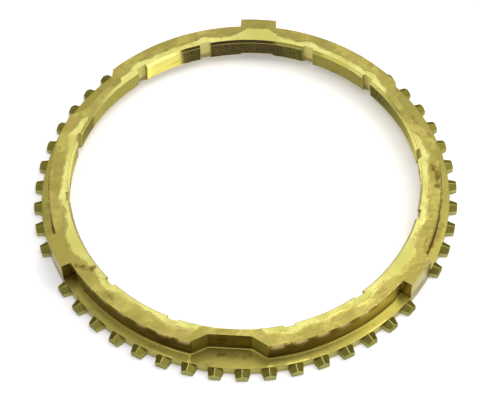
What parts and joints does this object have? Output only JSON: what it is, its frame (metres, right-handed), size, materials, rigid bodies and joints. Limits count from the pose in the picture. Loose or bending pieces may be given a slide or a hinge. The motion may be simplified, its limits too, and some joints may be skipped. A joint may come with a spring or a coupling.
{
  "type": "synchronizer ring",
  "caption": "Forged brass synchronizer ring with an oil-grooved friction cone, a flange of roof-chamfered teeth, strut-key pockets and lugs, for blocking a gear shift until speeds match.",
  "frame": {"origin": "on the ring's axis, in the plane of the flat gear-side face that it lies on", "axes": "+Z along the axis towards the hub side; -Y through the middle of a strut-key pocket and +Y through the middle of a lug"},
  "size_m": [0.13, 0.1297, 0.0105],
  "materials": {
    "brass": "matte forged faces with a bright machined band"
  },
  "bodies": {
    "root": {"synchronizer_ring": "brass"}
  },
  "joints": []
}
